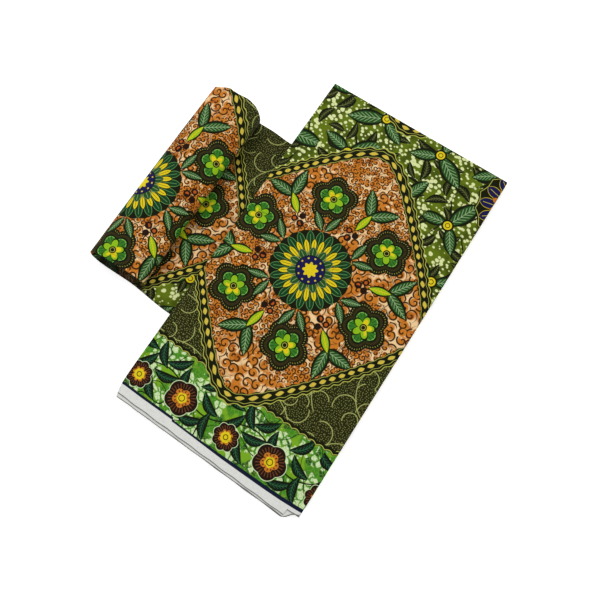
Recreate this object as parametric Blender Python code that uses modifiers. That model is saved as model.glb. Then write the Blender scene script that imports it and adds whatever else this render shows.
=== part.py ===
"""A folded length of wax print cotton cloth with its rolled end.

The cloth is folded in half across its width and then zig-zag folded into a flat stack. The last
stretch is folded narrower, laid out flat to the left under the stack, and rolled up towards it.

U runs along the stack's short side and V along its long side, both from the near left corner of
the stack, where the two selvedges lie at the near end and the fold of the half width at the far
end. The part's own frame has X along U, Y along V, Z up, and its origin under the middle.
"""

import math
from collections import namedtuple

import bmesh
import bpy

# Cloth, in metres
GAP = 0.0003
PANEL_WALL = 0.0016
STRIP_WALL = 0.0018

# Stack
STACK_WIDTH = 0.3030
STACK_LENGTH = 0.5780
STACK_HEIGHT = 0.0140
LEFT_BELLY_NEAR = 0.0065
LEFT_BELLY_FAR = 0.0025
CORNER_ROUND = 0.0040
GROOVE_DEPTH = 0.0011
LOOSE_CORNER = 0.93

# The flat tail of the rolled end, which the stack lies on
TAIL_TUCKED_TO = 0.090
TAIL_NEAR_AT_STACK = 0.139
TAIL_NEAR_AT_ROLL = 0.148
TAIL_FAR_AT_STACK = 0.460
TAIL_FAR_AT_ROLL = 0.465

# Roll
ROLL_CENTRE = -0.108
ROLL_HALF_WIDTH = 0.0480
ROLL_HEIGHT_NEAR = 0.037
ROLL_HEIGHT_FAR = 0.047
ROLL_SQUARENESS = 2.5
TURN_PITCH = STRIP_WALL + GAP + 0.0001
UNDER_WRAP = STRIP_WALL + GAP
WRAP_TURN = 0.985
ROLL_NEAR = 0.148
ROLL_FAR = 0.465
TELESCOPE_NEAR = 0.005
TELESCOPE_FAR = 0.004
ROLL_SLACK = 0.0012
END_RINGS = 5
END_RING_PITCH = 0.0030
END_RING_STAGGER = 0.0008
END_GROOVE_DEPTH = 0.0025

# Outer sides of the whole, which place the part's origin
OUTER_LEFT = ROLL_CENTRE - ROLL_HALF_WIDTH + TURN_PITCH / 4
OUTER_RIGHT = STACK_WIDTH + 0.0008
OUTER_NEAR = -0.0125
OUTER_FAR = STACK_LENGTH + 0.0010
ORIGIN_U = (OUTER_LEFT + OUTER_RIGHT) / 2
ORIGIN_V = (OUTER_NEAR + OUTER_FAR) / 2

# One leaf of the stack: how far it stands out at the left, right and far sides, and where its
# near edge lies at its left and right ends, all in metres from the stack's nominal rectangle
Leaf = namedtuple("Leaf", "left right near_left near_right far")

CORE_LEAVES = [
    Leaf(left=-0.0010, right=-0.0015, near_left=0.0015, near_right=-0.0080, far=-0.0010),
    Leaf(left=0.0000, right=-0.0005, near_left=0.0000, near_right=-0.0125, far=0.0002),
    Leaf(left=-0.0018, right=0.0002, near_left=0.0020, near_right=-0.0095, far=-0.0020),
    Leaf(left=-0.0004, right=-0.0020, near_left=0.0005, near_right=-0.0070, far=0.0010),
    Leaf(left=-0.0016, right=0.0008, near_left=0.0025, near_right=-0.0100, far=-0.0012),
    Leaf(left=-0.0006, right=-0.0010, near_left=-0.0005, near_right=-0.0060, far=0.0004),
]
SECOND_LEAF = Leaf(left=-0.0012, right=-0.0004, near_left=0.0000, near_right=-0.0085, far=-0.0006)
TOP_LEAF = Leaf(left=0.0000, right=0.0000, near_left=0.0010, near_right=-0.0020, far=0.0000)

CORE_HEIGHT = STACK_HEIGHT - 2 * (PANEL_WALL + GAP)
LEAF_PITCH = CORE_HEIGHT / len(CORE_LEAVES)

# How far the stack rises over the tail, at its underside and at its top, and how it comes down
# again past the tail's edges
LIFT_UNDER = STRIP_WALL + 0.0004
LIFT_TOP = 0.0008
AIR_UNDER_TOP = 0.0010
PAST_TAIL = 0.008
RAMP_UNDER = 0.010
RAMP_TOP = 0.050

# Lines of the stack's surface mesh, as shares of its width and length. Two lie along each edge of
# the tail: one just past it, and one where the stack is down on the floor.
U_LINES = [0.0, 0.02, 0.12, 0.22, 0.315, 0.375, 0.46, 0.56, 0.68, 0.80, LOOSE_CORNER, 0.98, 1.0]
V_LINES = [0.0, 0.02, 0.07, 0.13, 0.203, 0.232, 0.31, 0.39, 0.47, 0.55, 0.63, 0.71, 0.802,
           0.835, 0.89, 0.94, 0.98, 1.0]


def ease(x):
    """Smooth step from 0 to 1."""
    x = min(max(x, 0.0), 1.0)
    return x * x * (3 - 2 * x)


def mix(a, b, share):
    return a + (b - a) * share


def material(name, colour, roughness):
    mat = bpy.data.materials.new(name)
    mat.use_nodes = True
    shader = mat.node_tree.nodes["Principled BSDF"]
    shader.inputs["Base Color"].default_value = (*colour, 1.0)
    shader.inputs["Roughness"].default_value = roughness
    shader.inputs["Metallic"].default_value = 0.0
    return mat


def add_object(name, bm, colour, roughness=0.85):
    """Turn a bmesh into a named, smooth shaded object of the cloth's collection."""
    bmesh.ops.recalc_face_normals(bm, faces=bm.faces)
    mesh = bpy.data.meshes.new(name)
    bm.to_mesh(mesh)
    bm.free()
    mesh.materials.append(material(name + "_cloth", colour, roughness))
    mesh.shade_smooth()
    mesh.set_sharp_from_angle(angle=math.radians(40))
    obj = bpy.data.objects.new(name, mesh)
    obj.location = (-ORIGIN_U, -ORIGIN_V, 0.0)
    cloth_collection.objects.link(obj)
    return obj


def thicken(obj, wall):
    """Give an upper or outer surface its wall, on the side away from its normals."""
    solid = obj.modifiers.new("wall", "SOLIDIFY")
    solid.thickness = wall
    solid.offset = -1.0
    solid.use_even_offset = True
    return solid


def soften_rim(obj, width):
    bevel = obj.modifiers.new("rim", "BEVEL")
    bevel.width = width
    bevel.segments = 1
    bevel.limit_method = "ANGLE"
    bevel.angle_limit = math.radians(60)


def grid(columns, rows, place):
    """A grid of columns by rows faces, each corner put where place(s, t) says, s and t from 0 to 1."""
    bm = bmesh.new()
    bmesh.ops.create_grid(bm, x_segments=columns, y_segments=rows, size=1.0)
    for vert in bm.verts:
        vert.co = place((vert.co.x + 1) / 2, (vert.co.y + 1) / 2)
    return bm


def lattice_box(columns, rows, layers, place):
    """A closed box of columns by rows by layers faces, its corners put where place(s, t, h) says."""
    bm = bmesh.new()
    bmesh.ops.create_cube(bm, size=2.0)
    for axis, count in enumerate((columns, rows, layers)):
        along = [e for e in bm.edges if abs(e.verts[0].co[axis] - e.verts[1].co[axis]) > 1.0]
        bmesh.ops.subdivide_edges(bm, edges=along, cuts=count - 1, use_grid_fill=True)
    for vert in bm.verts:
        vert.co = place(*((c + 1) / 2 for c in vert.co))
    return bm


def line_at(lines, share):
    """The place of a mesh line, from its even share of the count to its own share of the side."""
    return lines[round(share * (len(lines) - 1))]


def left_edge(v_share, leaf):
    belly = mix(LEFT_BELLY_NEAR, LEFT_BELLY_FAR, v_share)
    corner = CORNER_ROUND * math.exp(-v_share / 0.02)
    return -belly - leaf.left + corner


def near_edge(u_share, leaf, loose):
    """A leaf's near edge slants outwards to the right, and a loose leaf's corner turns back in."""
    reach = mix(leaf.near_left, leaf.near_right, min(u_share / LOOSE_CORNER, 1.0))
    if not loose:
        return mix(leaf.near_left, leaf.near_right, u_share)
    return mix(reach, 0.0, ease((u_share - LOOSE_CORNER) / (1 - LOOSE_CORNER)))


def leaf_point(u_share, v_share, leaf, loose=True, inset=0.0):
    """Where a share of a leaf's width and length lies, with its rim drawn in by inset."""
    left = left_edge(v_share, leaf) + inset
    right = STACK_WIDTH + leaf.right - inset
    near = near_edge(u_share, leaf, loose) + inset
    far = STACK_LENGTH + leaf.far - inset
    return mix(left, right, u_share), mix(near, far, v_share)


def over_tail(u, v, ramp):
    """1 where the stack lies on the tail, falling to 0 over the ramp beyond the tail's edges."""
    past_end = u - TAIL_TUCKED_TO
    before = TAIL_NEAR_AT_STACK - v
    beyond = v - TAIL_FAR_AT_STACK
    return 1 - ease((max(past_end, before, beyond) - PAST_TAIL) / ramp)


def lift(u, v, height_share):
    under = LIFT_UNDER * over_tail(u, v, RAMP_UNDER)
    top = LIFT_TOP * over_tail(u, v, RAMP_TOP)
    return mix(under, top, height_share)


def stack_core():
    """The hidden layers as one solid, with a rounded leaf edge for each pair of folded panels."""
    rows_per_leaf = 3
    bulge = (0.0, 0.28, 0.72)

    def place(s, t, h):
        u_share = line_at(U_LINES, s)
        v_share = line_at(V_LINES, t)
        row = round(h * rows_per_leaf * len(CORE_LEAVES))
        number = min(row // rows_per_leaf, len(CORE_LEAVES) - 1)
        step = row - number * rows_per_leaf
        leaf = CORE_LEAVES[number]
        in_groove = step in (0, rows_per_leaf)
        height = LEAF_PITCH * (number + (1.0 if step == rows_per_leaf else bulge[step]))
        if in_groove and 0 < row < rows_per_leaf * len(CORE_LEAVES):
            below = leaf_point(u_share, v_share, CORE_LEAVES[max(number - 1, 0)], inset=GROOVE_DEPTH)
            above = leaf_point(u_share, v_share, leaf, inset=GROOVE_DEPTH)
            u, v = ((below[0] + above[0]) / 2, (below[1] + above[1]) / 2)
        else:
            u, v = leaf_point(u_share, v_share, leaf, inset=GROOVE_DEPTH if in_groove else 0.0)
        return u, v, height + lift(u, v, height / CORE_HEIGHT)

    layers = rows_per_leaf * len(CORE_LEAVES)
    bm = lattice_box(len(U_LINES) - 1, len(V_LINES) - 1, layers, place)
    return add_object("stack_core", bm, (0.24, 0.21, 0.08))


def air_under_top(u_share, v_share):
    """How far the top panel stands off the one below, in two soft swells along its length."""
    swell = math.sin(math.pi * u_share) * (0.5 - 0.5 * math.cos(3.4 * math.pi * v_share + 0.8))
    return AIR_UNDER_TOP * swell * ease(v_share / 0.1) * ease((1 - v_share) / 0.1)


def stack_panel(name, leaf, underside, loose, air, colour):
    """One folded panel of the stack, lying on what is below it."""

    def place(s, t):
        u_share = line_at(U_LINES, s)
        v_share = line_at(V_LINES, t)
        u, v = leaf_point(u_share, v_share, leaf, loose)
        upper = underside + PANEL_WALL + lift(u, v, 1.0) + air(u_share, v_share)
        return u, v, upper

    bm = grid(len(U_LINES) - 1, len(V_LINES) - 1, place)
    obj = add_object(name, bm, colour)
    thicken(obj, PANEL_WALL)
    soften_rim(obj, PANEL_WALL * 0.3)
    return obj


def tail():
    """The flat stretch from under the roll to its end under the stack."""

    def place(s, t):
        u = mix(ROLL_CENTRE + GAP, TAIL_TUCKED_TO, s)
        past_roll = ease(s / 0.5)
        near = mix(TAIL_NEAR_AT_ROLL, TAIL_NEAR_AT_STACK, past_roll)
        far = mix(TAIL_FAR_AT_ROLL, TAIL_FAR_AT_STACK, past_roll)
        return u, mix(near, far, t), STRIP_WALL

    obj = add_object("tail", grid(8, 4, place), (0.45, 0.22, 0.06))
    thicken(obj, STRIP_WALL)
    soften_rim(obj, STRIP_WALL * 0.25)
    return obj


def roll_height(v_share):
    """The roll is flatter at its near end, and a little slack in the middle."""
    slack = ROLL_SLACK * math.sin(math.pi * v_share)
    return mix(ROLL_HEIGHT_NEAR, ROLL_HEIGHT_FAR, ease(v_share)) - slack


def roll_point(turn, v_share, inset):
    """A point of the roll's section after a share of a turn from its underside, left side first."""
    angle = -math.pi / 2 - 2 * math.pi * turn
    half_height = roll_height(v_share) / 2
    power = 2 / ROLL_SQUARENESS
    across = math.copysign(abs(math.cos(angle)) ** power, math.cos(angle))
    up = math.copysign(abs(math.sin(angle)) ** power, math.sin(angle))
    drawn_in = TURN_PITCH * turn + inset
    u = ROLL_CENTRE + (ROLL_HALF_WIDTH - drawn_in) * across
    z = half_height + (half_height - drawn_in) * up
    return u, z


def roll_ends(turn):
    """Where the roll's near and far edges lie after a share of a turn: each turn is drawn in."""
    near = ROLL_NEAR + TELESCOPE_NEAR * ease(turn * 1.6)
    far = ROLL_FAR + TELESCOPE_FAR * math.sin(math.pi * min(turn, 1.0))
    return near, far


def roll_wrap():
    """The outermost turn, which carries on from the tail up the left side and over the top."""

    def place(s, t):
        turn = WRAP_TURN * s
        near, far = roll_ends(turn)
        u, z = roll_point(turn, t, 0.0)
        return u, mix(near, far, t), z

    bm = grid(52, 7, place)
    obj = add_object("roll_wrap", bm, (0.30, 0.24, 0.08))
    thicken(obj, STRIP_WALL)
    soften_rim(obj, STRIP_WALL * 0.25)
    return obj


def section_ring(v_share, v, inset, points=44):
    """A closed ring of the roll's section, with the step of the spiral at its underside."""
    ring = []
    for index in range(points):
        turn = index / (points - 1)
        u, z = roll_point(turn, v_share, inset)
        ring.append((u, v, z))
    return ring


def loft(rings):
    """A closed solid through rings of equal count, with flat ends."""
    bm = bmesh.new()
    loops = [[bm.verts.new(point) for point in ring] for ring in rings]
    for lower, upper in zip(loops, loops[1:]):
        for index, vert in enumerate(lower):
            after = (index + 1) % len(lower)
            bm.faces.new((vert, lower[after], upper[after], upper[index]))
    bm.faces.new(loops[0])
    bm.faces.new(list(reversed(loops[-1])))
    return bm


def roll_core():
    """The hidden turns as one solid, with ring after ring of cloth edges at both ends."""
    near = ROLL_NEAR + TELESCOPE_NEAR
    far = ROLL_FAR
    inner_half_height = ROLL_HEIGHT_NEAR / 2 - UNDER_WRAP
    rings = []

    def end_rings(v_share, end, inwards):
        """Rings from the middle of an end out to its rim, each cloth edge between two grooves."""
        made = []
        for number in range(END_RINGS, -1, -1):
            edge_at = end + inwards * END_RING_STAGGER * ((number * 7) % 3)
            outer = UNDER_WRAP + END_RING_PITCH * number
            inner = min(outer + END_RING_PITCH * 0.75, UNDER_WRAP + inner_half_height * 0.93)
            made.append(section_ring(v_share, edge_at + inwards * END_GROOVE_DEPTH, inner))
            made.append(section_ring(v_share, edge_at, (inner + outer) / 2))
            made.append(section_ring(v_share, edge_at + inwards * END_RING_STAGGER, outer))
        return made

    rings += end_rings(0.0, near, 1)
    stations = 6
    for station in range(1, stations):
        share = station / stations
        rings.append(section_ring(share, mix(near, far, share), UNDER_WRAP))
    rings += reversed(end_rings(1.0, far, -1))
    return add_object("roll_core", loft(rings), (0.20, 0.20, 0.08))


for old in list(bpy.data.objects):
    bpy.data.objects.remove(old, do_unlink=True)
cloth_collection = bpy.data.collections.new("folded_wax_print_cloth")
bpy.context.scene.collection.children.link(cloth_collection)

stack_core()
stack_panel("second_panel", SECOND_LEAF, CORE_HEIGHT + GAP, True, lambda s, t: 0.0, (0.78, 0.78, 0.74))
stack_panel("top_panel", TOP_LEAF, CORE_HEIGHT + PANEL_WALL + 2 * GAP, False, air_under_top,
            (0.42, 0.30, 0.08))
tail()
roll_wrap()
roll_core()
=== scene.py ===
"""The looks of the folded wax print cloth: its layers as thin folded sheets, and its print."""

import math

import bpy
import numpy as np
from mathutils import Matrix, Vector


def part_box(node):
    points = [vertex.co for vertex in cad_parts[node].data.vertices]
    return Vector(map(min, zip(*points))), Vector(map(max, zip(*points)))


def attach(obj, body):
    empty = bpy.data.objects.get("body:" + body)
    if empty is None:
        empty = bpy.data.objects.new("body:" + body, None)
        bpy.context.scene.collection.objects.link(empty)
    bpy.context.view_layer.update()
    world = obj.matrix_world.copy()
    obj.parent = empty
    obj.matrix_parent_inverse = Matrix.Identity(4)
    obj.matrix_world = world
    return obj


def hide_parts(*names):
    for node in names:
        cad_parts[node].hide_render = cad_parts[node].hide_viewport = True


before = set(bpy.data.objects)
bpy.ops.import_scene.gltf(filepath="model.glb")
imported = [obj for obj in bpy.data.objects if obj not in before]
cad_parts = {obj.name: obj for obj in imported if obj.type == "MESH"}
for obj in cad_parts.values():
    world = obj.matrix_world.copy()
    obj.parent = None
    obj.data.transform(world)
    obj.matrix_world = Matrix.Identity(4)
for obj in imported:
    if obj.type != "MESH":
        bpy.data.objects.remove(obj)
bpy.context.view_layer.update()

MM = 0.001
FULL_TURN = 2 * math.pi

# Sizes of the part, in metres, with U along the stack's short side and V along its long one
STACK_WIDTH = 0.3030
STACK_LENGTH = 0.5780
STACK_HEIGHT = 0.0140
LEFT_BELLY_NEAR = 0.0065
LEFT_BELLY_FAR = 0.0025
TAIL_TUCKED_TO = 0.088
TAIL_NEAR_AT_STACK = 0.139
TAIL_NEAR_AT_ROLL = 0.148
TAIL_FAR_AT_STACK = 0.460
TAIL_FAR_AT_ROLL = 0.465
ROLL_CENTRE = -0.108
ROLL_HALF_WIDTH = 0.0480
ROLL_HEIGHT_NEAR = 0.037
ROLL_HEIGHT_FAR = 0.047
ROLL_SLACK = 0.0012
ROLL_SQUARENESS = 2.5
ROLL_NEAR = 0.148
ROLL_FAR = 0.465

# The stack's near left corner in the part's frame
top_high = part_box("top_panel")[1]
CORNER = Vector((top_high[0] - STACK_WIDTH, top_high[1] - STACK_LENGTH, 0.0))

# Cloth as folded here: the panels of the stack, and the turns of the roll
PANELS = 12
PANEL_PITCH = STACK_HEIGHT / PANELS
PANEL_WALL = 0.00092
TURNS = 7
TURN_PITCH = 0.0022
ROLL_WALL = 0.0012
ABOVE_FLOOR = 0.0001


def ease(x):
    """Smooth step from 0 to 1, for numbers and arrays."""
    x = np.clip(x, 0.0, 1.0)
    return x * x * (3 - 2 * x)


def mix(a, b, share):
    return a + (b - a) * share


# Camera, floor and light

CAMERA_TARGET = Vector((0.1399, 0.2559, STACK_HEIGHT))
CAMERA_AZIMUTH = math.radians(32.77)
CAMERA_ELEVATION = math.radians(74.97)
CAMERA_DISTANCE = 1.2027
CAMERA_LENS = 50.0
CAMERA_SENSOR = 36.0
FLOOR_SIZE = 8.0
FLOOR_LEVEL = -0.0002
FLOOR_GLOW = 0.40
SKY_STRENGTH = 0.84


def make_camera():
    camera = bpy.data.objects.new("camera", bpy.data.cameras.new("camera"))
    camera.data.lens = CAMERA_LENS
    camera.data.sensor_width = CAMERA_SENSOR
    camera.data.clip_start = 0.01
    back = Vector((
        math.sin(CAMERA_AZIMUTH) * math.cos(CAMERA_ELEVATION),
        -math.cos(CAMERA_AZIMUTH) * math.cos(CAMERA_ELEVATION),
        math.sin(CAMERA_ELEVATION),
    ))
    camera.location = CORNER + CAMERA_TARGET + back * CAMERA_DISTANCE
    camera.rotation_euler = back.to_track_quat("Z", "Y").to_euler()
    bpy.context.scene.collection.objects.link(camera)
    bpy.context.scene.camera = camera


def make_floor():
    """White paper with a little light of its own, so that shadows on it stay as faint as in the photo."""
    bpy.ops.mesh.primitive_plane_add(size=FLOOR_SIZE, location=(0.0, 0.0, FLOOR_LEVEL))
    floor = bpy.context.object
    floor.name = "floor"
    paper = bpy.data.materials.new("pale_floor")
    paper.use_nodes = True
    shader = paper.node_tree.nodes["Principled BSDF"]
    shader.inputs["Base Color"].default_value = (0.97, 0.97, 0.97, 1.0)
    shader.inputs["Roughness"].default_value = 0.9
    shader.inputs["Specular IOR Level"].default_value = 0.1
    shader.inputs["Emission Color"].default_value = (1.0, 1.0, 1.0, 1.0)
    shader.inputs["Emission Strength"].default_value = FLOOR_GLOW
    floor.data.materials.append(paper)


def add_area_light(name, place, size, power):
    """A round light that shines at the middle of the part."""
    light = bpy.data.objects.new(name, bpy.data.lights.new(name, "AREA"))
    light.data.shape = "DISK"
    light.data.size = size
    light.data.energy = power
    light.location = place
    light.rotation_euler = Vector(place).to_track_quat("Z", "Y").to_euler()
    bpy.context.scene.collection.objects.link(light)


def make_lights():
    """A white sky for most of the light, a key light at the far left and a weak fill at the near right."""
    world = bpy.data.worlds.new("studio")
    bpy.context.scene.world = world
    world.use_nodes = True
    sky = world.node_tree.nodes["Background"]
    sky.inputs["Color"].default_value = (1.0, 1.0, 1.0, 1.0)
    sky.inputs["Strength"].default_value = SKY_STRENGTH
    add_area_light("key", (-0.9, 0.9, 1.7), 1.0, 15.0)
    add_area_light("fill", (1.2, -0.8, 1.5), 1.6, 2.0)
    bpy.context.scene.view_settings.view_transform = "Standard"


# Node arithmetic: a Field is a number, a place or a colour over the cloth, held by a node's socket

class Field:
    def __init__(self, tree, socket):
        self.tree = tree
        self.socket = socket

    def __add__(self, other):
        return calc("ADD", self, other)

    __radd__ = __add__

    def __sub__(self, other):
        return calc("SUBTRACT", self, other)

    def __rsub__(self, other):
        return calc("SUBTRACT", other, self)

    def __mul__(self, other):
        return calc("MULTIPLY", self, other)

    __rmul__ = __mul__

    def __truediv__(self, other):
        return calc("DIVIDE", self, other)


def tree_of(*values):
    return next(value.tree for value in values if isinstance(value, Field))


def plug(tree, socket, value):
    """Link a Field to an input socket, or set the socket to a plain value."""
    if isinstance(value, Field):
        tree.links.new(value.socket, socket)
    else:
        socket.default_value = value


def calc(operation, *values):
    tree = tree_of(*values)
    node = tree.nodes.new("ShaderNodeMath")
    node.operation = operation
    for socket, value in zip(node.inputs, values):
        plug(tree, socket, value)
    return Field(tree, node.outputs[0])


def sin(x):
    return calc("SINE", x)


def cos(x):
    return calc("COSINE", x)


def absolute(x):
    return calc("ABSOLUTE", x)


def floor_of(x):
    return calc("FLOOR", x)


def fract(x):
    return calc("FRACT", x)


def both(a, b):
    """The lesser of two masks."""
    return calc("MINIMUM", a, b)


def either(a, b):
    """The greater of two masks."""
    return calc("MAXIMUM", a, b)


def length_of(x, y):
    return calc("SQRT", x * x + y * y)


def angle_of(x, y):
    return calc("ARCTAN2", y, x)


def ramp(value, low, high):
    """0 below low and 1 above high, or the other way round where low is the greater."""
    tree = value.tree
    node = tree.nodes.new("ShaderNodeMapRange")
    node.interpolation_type = "SMOOTHSTEP"
    node.clamp = True
    plug(tree, node.inputs["Value"], value)
    if low < high:
        ends = (low, high, 0.0, 1.0)
    else:
        ends = (high, low, 1.0, 0.0)
    for name, end in zip(("From Min", "From Max", "To Min", "To Max"), ends):
        node.inputs[name].default_value = end
    return Field(tree, node.outputs["Result"])


# How wide the soft edge of a printed shape is, in metres
EDGE = 0.0004


def inside(distance, limit, soft=EDGE):
    """A mask of where a distance is under a limit, both in metres."""
    if isinstance(limit, Field):
        return ramp(distance - limit, soft / 2, -soft / 2)
    return ramp(distance, limit + soft / 2, limit - soft / 2)


def band(value, middle, half_width, soft=EDGE):
    """A mask of where a value is within half_width of its middle."""
    return inside(absolute(value - middle), half_width, soft)


def rays(angle, count, low, high):
    """A mask of evenly spaced rays about a motif's middle."""
    return ramp(sin(angle * count), low, high)


def vector(x, y):
    tree = tree_of(x, y)
    node = tree.nodes.new("ShaderNodeCombineXYZ")
    plug(tree, node.inputs[0], x)
    plug(tree, node.inputs[1], y)
    return Field(tree, node.outputs[0])


def split(field):
    """The three numbers of a vector or a colour."""
    node = field.tree.nodes.new("ShaderNodeSeparateXYZ")
    plug(field.tree, node.inputs[0], field)
    return [Field(field.tree, socket) for socket in node.outputs]


def noise(place, scale, detail=2.0, roughness=0.5):
    tree = place.tree
    node = tree.nodes.new("ShaderNodeTexNoise")
    node.noise_dimensions = "2D"
    plug(tree, node.inputs["Vector"], place)
    node.inputs["Scale"].default_value = scale
    node.inputs["Detail"].default_value = detail
    node.inputs["Roughness"].default_value = roughness
    return Field(tree, node.outputs["Fac"])


def patches(place, scale, low, high, detail=2.0):
    """A mask of soft patches: 0 where a noise is below low, and 1 where it is above high."""
    return ramp(noise(place, scale, detail), low, high)


def voronoi(x, y, pitch, feature="F1", randomness=1.0):
    """Cells over the cloth, about a pitch apart."""
    node = x.tree.nodes.new("ShaderNodeTexVoronoi")
    node.voronoi_dimensions = "2D"
    node.feature = feature
    plug(x.tree, node.inputs["Vector"], vector(x, y))
    node.inputs["Scale"].default_value = 1 / pitch
    node.inputs["Randomness"].default_value = randomness
    return node


def from_point(x, y, pitch, randomness=1.0):
    """How far a place is from the nearest cell's point, in pitches."""
    return Field(x.tree, voronoi(x, y, pitch, "F1", randomness).outputs["Distance"])


def from_cell_edge(x, y, pitch):
    """How far a place is from the edge of its cell, in pitches."""
    return Field(x.tree, voronoi(x, y, pitch, "DISTANCE_TO_EDGE").outputs["Distance"])


def scattered(x, y, pitch, randomness):
    """Places scattered over the cloth, one to a cell: the way from the nearest one, and two
    random numbers of that one."""
    node = voronoi(x, y, pitch, "F1", randomness)
    cell_x, cell_y, unused = split(Field(x.tree, node.outputs["Position"]))
    first, second, unused = split(Field(x.tree, node.outputs["Color"]))
    return x - cell_x, y - cell_y, first, second


def turn(x, y, angle):
    """The place turned back by an angle, so that a motif drawn along x lies at that angle."""
    if isinstance(angle, Field):
        cosine, sine = cos(angle), sin(angle)
    else:
        cosine, sine = math.cos(angle), math.sin(angle)
    return x * cosine + y * sine, y * cosine - x * sine


def linear(*colour):
    """An 8 bit display colour as linear light."""
    def channel(value):
        value /= 255.0
        return value / 12.92 if value <= 0.04045 else ((value + 0.055) / 1.055) ** 2.4
    return (*(channel(value) for value in colour), 1.0)


def paint(under, over, mask):
    """Lay one colour over another where the mask says."""
    tree = mask.tree
    node = tree.nodes.new("ShaderNodeMix")
    node.data_type = "RGBA"
    colours = [socket for socket in node.inputs if socket.type == "RGBA"]
    plug(tree, node.inputs[0], mask)
    plug(tree, colours[0], under)
    plug(tree, colours[1], over)
    return Field(tree, [socket for socket in node.outputs if socket.type == "RGBA"][0])


# Colours of the print, as they show
ORANGE = linear(190, 114, 34)
RUST = linear(152, 76, 16)
PEACH = linear(228, 194, 144)
BROWN = linear(58, 33, 4)
PLUM = linear(30, 14, 6)
BERRY = linear(170, 80, 24)
FLOWER_RAY = linear(104, 60, 34)
OLIVE = linear(64, 78, 6)
MOSS = linear(90, 108, 14)
CREAM = linear(206, 214, 152)
GREEN = linear(64, 128, 26)
LIME = linear(132, 176, 22)
MINT = linear(196, 216, 166)
CRACKLE = linear(120, 160, 60)
LEAF = linear(34, 74, 26)
LEAF_VEIN = linear(136, 166, 116)
DARK_LEAF_VEIN = linear(92, 100, 50)
VINE_LEAF = linear(8, 30, 20)
VINE_LEAF_VEIN = linear(44, 92, 56)
PINE = linear(16, 56, 26)
PETAL_EDGE = linear(96, 150, 84)
LOBE = linear(50, 112, 30)
LOBE_EDGE = linear(116, 176, 74)
LOBE_HATCH = linear(74, 60, 26)
LOBE_DOT = linear(156, 148, 72)
DARK = linear(34, 36, 4)
DARK_DOT = linear(122, 126, 70)
SPRAY = linear(156, 162, 92)
INK = linear(16, 20, 2)
LINE = linear(170, 172, 74)
YELLOW = linear(212, 190, 24)
CHAIN = linear(200, 176, 60)
CHAIN_EDGE = linear(176, 164, 74)
NAVY = linear(18, 20, 70)
NAVY_LINE = linear(14, 22, 44)
SELVEDGE = linear(213, 214, 209)
SELVEDGE_WEFT = linear(196, 196, 190)
# painted shade, for the grey line along each ply's very edge
PLY_EDGE_SHADE = linear(112, 112, 108)
BLACK = linear(0, 0, 0)
# painted shade, not a colour of the print: for the cloth inside the roll's ends and at the tail's near
# edge
PAINTED_SHADE = linear(24, 21, 12)

# Layout of the print, in metres of cloth: S along its length, W across it from the selvedge
NAVY_LINE_AT = 0.0151
JOG_AT = 0.084
JOG = 0.0021
BAND_TO = 0.102
SCALLOP = 0.0135
OGEE_AT = (0.128, 0.302)
OGEE_PITCH = (0.420, 0.480)
OGEE_LEVEL = 0.10
BORDER_WIDTH = 0.0125
BORDER_LINKS = 72
ROSETTE_RADIUS = 0.060
MEDALLION_RADIUS = 0.060
FLOWERS = 6
FLOWER_RING = 0.114
FLOWER_RADIUS = 0.0360
LEAF_RIBS = 9
LEAF_BEND = 16.0
THREAD_PITCH = 0.00042

# How much of the colour gives way to painted shade far inside the roll's ends and along the tail's near
# edge
PAINTED_SHADE_SHARE = 0.86


def leaf(colour, x, y, length, width, body=LEAF, vein=LEAF_VEIN):
    """A pointed leaf along x, veined, with a dark rim."""
    share = x * (1.0 / length)
    half = (1.0 - share * share) * width
    across = absolute(y)
    colour = paint(colour, INK, inside(across, half))
    colour = paint(colour, body, inside(across, half * 0.76 - 0.0008))
    ribs = sin((x - across * 1.3) * (FULL_TURN * LEAF_RIBS / (2 * length)))
    veins = either(ramp(ribs, 0.60, 0.92), inside(across, 0.0005))
    return paint(colour, vein, both(veins, inside(across, half * 0.64 - 0.0010)))


def leaf_pair(colour, x, y, apart, lean, shift, length, width):
    """Two leaves, one to each side of the x axis, leaning away from it and shifted along themselves."""
    for side in (1, -1):
        leaf_x, leaf_y = turn(x, y - side * apart, side * lean)
        colour = leaf(colour, leaf_x - shift, leaf_y, length, width)
    return colour


def curls(x, y, pitch, line):
    """Small scrolls packed side by side, a spiral in each cell of a loose mesh, and what is between."""
    dx, dy, first, unused = scattered(x, y, pitch, 0.75)
    angle = angle_of(dx, dy) * (1 / FULL_TURN)
    radius = length_of(dx, dy)
    arms = fract(radius * (1.9 / pitch) + angle + first)
    lines = both(band(arms, 0.5, line, 0.12), inside(radius, pitch * 0.70, pitch * 0.1))
    return lines, ramp(radius, pitch * 0.36, pitch * 0.52)


def orange_ground(x, y):
    """Orange covered with brown scrolls, paler in patches between them."""
    place = vector(x, y)
    small, by_small = curls(x, y, 0.0080, 0.22)
    large, by_large = curls(x + 0.31, y, 0.0145, 0.165)
    where_large = patches(place, 13.0, 0.50, 0.53, 0.0)
    lines = small * (1.0 - where_large) + large * where_large
    between = by_small * (1.0 - where_large) + by_large * where_large
    light = both(patches(place, 34.0, 0.42, 0.58), between)
    light = either(light, patches(place, 95.0, 0.60, 0.70))
    colour = paint(ORANGE, RUST, patches(place, 42.0, 0.50, 0.72) * 0.7)
    colour = paint(colour, PEACH, light)
    return paint(colour, BROWN, lines)


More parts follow.
